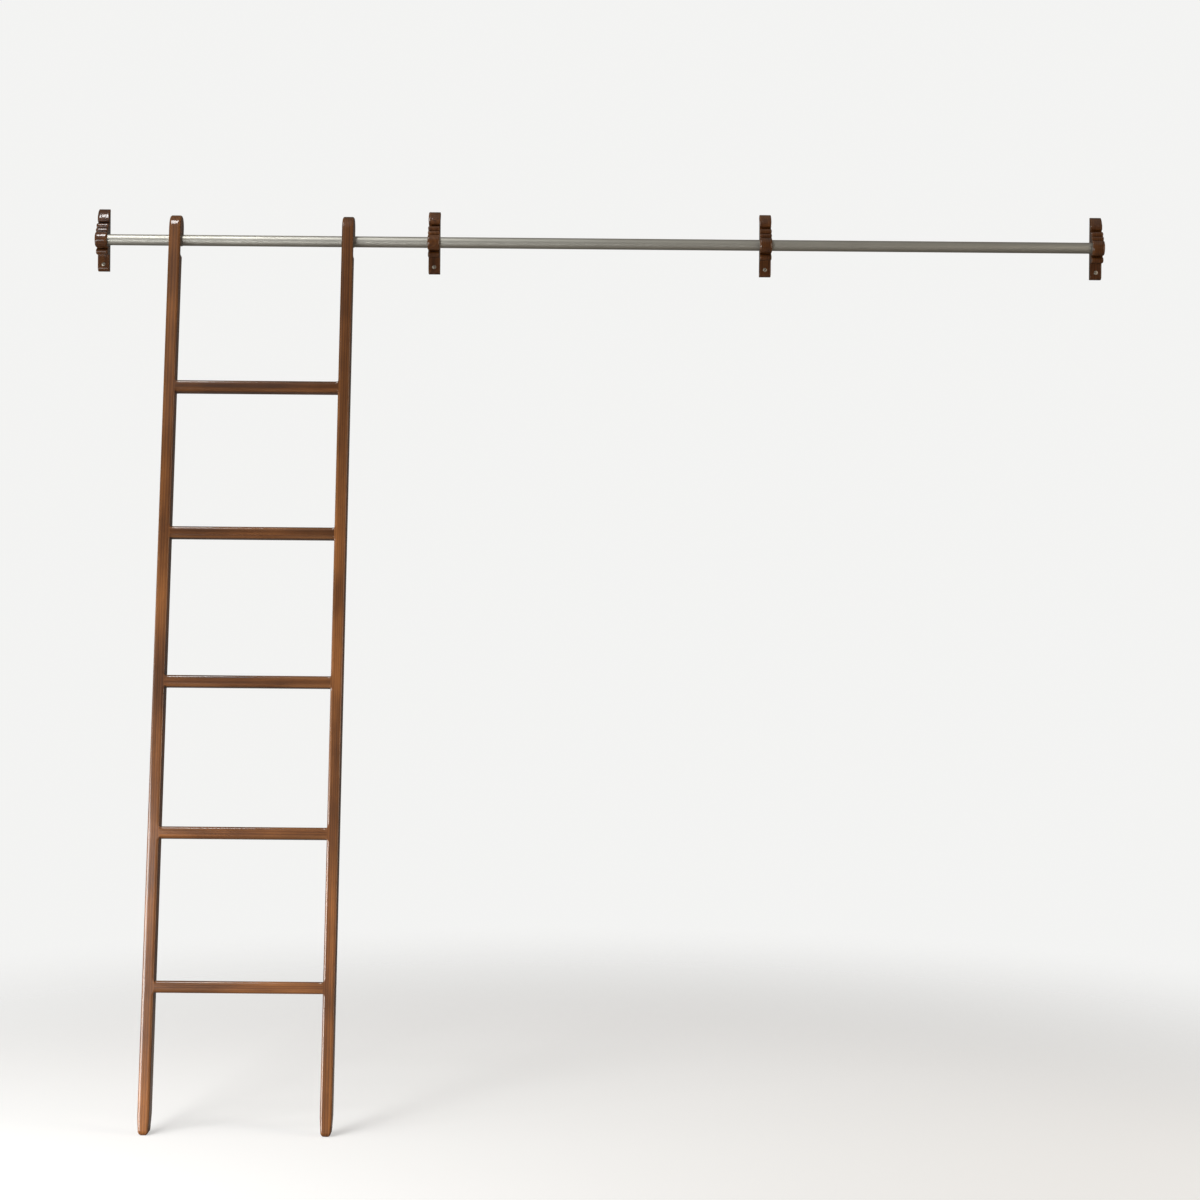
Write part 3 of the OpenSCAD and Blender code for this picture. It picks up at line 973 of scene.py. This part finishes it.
def slotted(mesh):
    """The mesh with the driver's slot cut across its head."""
    slot_w, slot_depth = 1 * MM, 1.4 * MM
    bm = bmesh.new()
    size = Matrix.Diagonal((12 * MM, 2 * slot_depth, slot_w, 1))
    bmesh.ops.create_cube(bm, size=1, matrix=Matrix.Translation((0, -0.9 * MM, 0)) @ size)
    cutter_mesh = bpy.data.meshes.new("slot")
    bm.to_mesh(cutter_mesh)
    bm.free()
    screw, cutter = bpy.data.objects.new("screw", mesh), bpy.data.objects.new("slot", cutter_mesh)
    for thing in (screw, cutter):
        bpy.context.scene.collection.objects.link(thing)
    cut = screw.modifiers.new("cut", "BOOLEAN")
    cut.object = cutter
    cut.solver = "EXACT"
    depsgraph = bpy.context.evaluated_depsgraph_get()
    made = bpy.data.meshes.new_from_object(screw.evaluated_get(depsgraph))
    for thing in (screw, cutter):
        bpy.data.objects.remove(thing)
    return made


def bracket_screws(name, height, head_y, material):
    """One screw in each bracket, its slot turned its own way."""
    solid = screw_solid(-head_y, THREAD_L)
    template = slotted(solid.mesh(name, Matrix.Identity(4), 1, (0, 0, 0), 0.0))
    meshes = []
    for k, bracket_name in enumerate(BRACKETS):
        turned = Matrix.Rotation(math.radians(35 + 50 * k), 4, "Y")
        copy = template.copy()
        copy.transform(on_bracket(bracket_name) @ Matrix.Translation((0, head_y, height)) @ turned)
        meshes.append(copy)
    make(name, join(name, meshes), material, "brackets", "screw_steel")


# ---- Camera, lights and stage ----


def look_at(thing, target):
    way = Vector(target) - thing.location
    thing.rotation_mode = "QUATERNION"
    thing.rotation_quaternion = way.to_track_quat("-Z", "Y")


def camera():
    """Stands well back at chest height, level and very slightly rolled."""
    distance, height, roll = 6.5, 1.376, math.radians(0.5)
    data = bpy.data.cameras.new("camera")
    data.lens = 85.5
    data.sensor_width = 36
    data.shift_x = 0.002
    data.shift_y = -0.0833
    made = bpy.data.objects.new("camera", data)
    made.location = (0, RAIL_Y - distance, height)
    turn = Matrix.Rotation(-roll, 4, "Y") @ Matrix.Rotation(math.pi / 2, 4, "X")
    made.rotation_euler = turn.to_euler()
    bpy.context.scene.collection.objects.link(made)
    bpy.context.scene.camera = made


def softbox(name, place, target, width, height, power, colour=(1, 1, 1), spread=180):
    data = bpy.data.lights.new(name, "AREA")
    data.shape = "RECTANGLE"
    data.size = width
    data.size_y = height
    data.energy = power
    data.spread = math.radians(spread)
    data.color = colour
    made = bpy.data.objects.new(name, data)
    made.location = place
    look_at(made, target)
    bpy.context.scene.collection.objects.link(made)


def lights():
    """Low windows on the left, a small bright skylight over the left end of the rail, two warm
    lamps on the right, and dim light from above."""
    softbox("window", (-2.6, -2.6, 0.7), (-0.8, -0.1, -0.3), 2.4, 1.4, 70, spread=100)
    softbox("side_window", (-3.0, -0.8, 0.7), (-0.9, 0.0, 0.5), 1.6, 1.6, 22)
    softbox("skylight", (-1.4, -0.85, 4.0), (-1.15, 0.1, 1.9), 0.42, 1.1, 32)
    softbox("lantern", (-1.6, -2.8, 3.7), (-1.0, 0.1, 1.9), 1.3, 2.0, 4)
    warm, warmer = (1, 0.90, 0.78), (1, 0.88, 0.74)
    softbox("far_lamp", (2.9, -1.7, 2.2), (-0.2, 0.0, 1.2), 1.4, 1.8, 30, warm)
    softbox("low_lamp", (2.6, -0.9, 0.9), (-0.7, 0.0, 0.8), 1.4, 1.4, 6, warmer, spread=90)
    softbox("ceiling", (0.2, -0.8, 4.6), (0.2, -0.8, 0), 5.0, 3.0, 6)


def world():
    """Pale where it is seen, and dim where it only adds light, more of it from above."""
    made = bpy.data.worlds.new("world")
    bpy.context.scene.world = made
    made.use_nodes = True
    tree = made.node_tree
    tree.nodes.clear()
    seen = tree.nodes.new("ShaderNodeBackground")
    seen.inputs["Color"].default_value = (0.90, 0.90, 0.89, 1)
    lighting = tree.nodes.new("ShaderNodeBackground")
    lighting.inputs["Color"].default_value = (0.90, 0.82, 0.74, 1)
    way = tree.nodes.new("ShaderNodeTexCoord")
    split = tree.nodes.new("ShaderNodeSeparateXYZ")
    rise = tree.nodes.new("ShaderNodeMapRange")
    rise.interpolation_type = "SMOOTHSTEP"
    rise.inputs["From Min"].default_value = 0.2
    rise.inputs["To Min"].default_value = 0.10
    rise.inputs["To Max"].default_value = 0.24
    tree.links.new(way.outputs["Generated"], split.inputs[0])
    tree.links.new(split.outputs["Z"], rise.inputs["Value"])
    tree.links.new(rise.outputs["Result"], lighting.inputs["Strength"])
    path = tree.nodes.new("ShaderNodeLightPath")
    mix = tree.nodes.new("ShaderNodeMixShader")
    output = tree.nodes.new("ShaderNodeOutputWorld")
    tree.links.new(path.outputs["Is Camera Ray"], mix.inputs[0])
    tree.links.new(lighting.outputs[0], mix.inputs[1])
    tree.links.new(seen.outputs[0], mix.inputs[2])
    tree.links.new(mix.outputs[0], output.inputs[0])


def floor():
    """A pale round floor that fades into the background."""
    bm = bmesh.new()
    bmesh.ops.create_circle(bm, cap_ends=True, segments=96, radius=7)
    mesh = bpy.data.meshes.new("floor")
    bm.to_mesh(mesh)
    bm.free()
    made = bpy.data.objects.new("floor", mesh)
    bpy.context.scene.collection.objects.link(made)
    s = Shader("floor")
    place = s.node("TexCoord").outputs["Object"]
    distance = s.node("VectorMath", {0: place}, operation="LENGTH").outputs["Value"]
    fade = s.node(
        "MapRange",
        {"Value": distance, "From Min": 1.1, "From Max": 2.9},
        interpolation_type="SMOOTHSTEP",
    ).outputs["Result"]
    # It looks paler than the brown light that it sends back up to the object
    seen = s.node("LightPath").outputs["Is Camera Ray"]
    colour = s.mix(seen, (0.25, 0.23, 0.21), (0.50, 0.50, 0.49))
    glow = s.math("MULTIPLY", seen, 0.46)
    inputs = {"Base Color": colour, "Roughness": 0.75}
    inputs.update({"Specular IOR Level": 0.2, "Emission Strength": glow})
    surface = s.node("BsdfPrincipled", inputs)
    clear = s.node("BsdfTransparent")
    mix = s.node("MixShader", {0: fade, 1: surface.outputs[0], 2: clear.outputs[0]})
    output = s.node("OutputMaterial")
    s.tree.links.new(mix.outputs[0], output.inputs["Surface"])
    mesh.materials.append(s.material)


# ---- The object ----


def finish_cad_node(name, material):
    """Gives a hidden piece that stays as CAD its own finish."""
    data = frame["nodes"][name].data
    data.materials.clear()
    data.materials.append(material)


camera()
lights()
world()
floor()
bpy.context.scene.view_settings.view_transform = "Standard"

ladder = ladder_wood()
dark = bracket_wood()
plug = plug_wood()
steel = tube_steel()
zinc = screw_steel()
for side_name in SIDES:
    stile(side_name, ladder)
    hook(side_name, ladder)
    rung_plugs(side_name, plug)
    finish_cad_node(f"{side_name}_hook_dowels", plug)
    finish_cad_node(f"{side_name}_rung_screws", zinc)
for index, name in enumerate(RUNGS):
    rung(name, ladder, index)
rail(steel)
for index, name in enumerate(BRACKETS):
    bracket(name, dark, index)
bracket_plugs(plug)
bracket_screws("lower_bracket_screws", LOWER_SCREW_Z, -TAIL_T, zinc)
bracket_screws("upper_bracket_screws", UPPER_SCREW_Z, -UPPER_SCREW_HEAD, zinc)
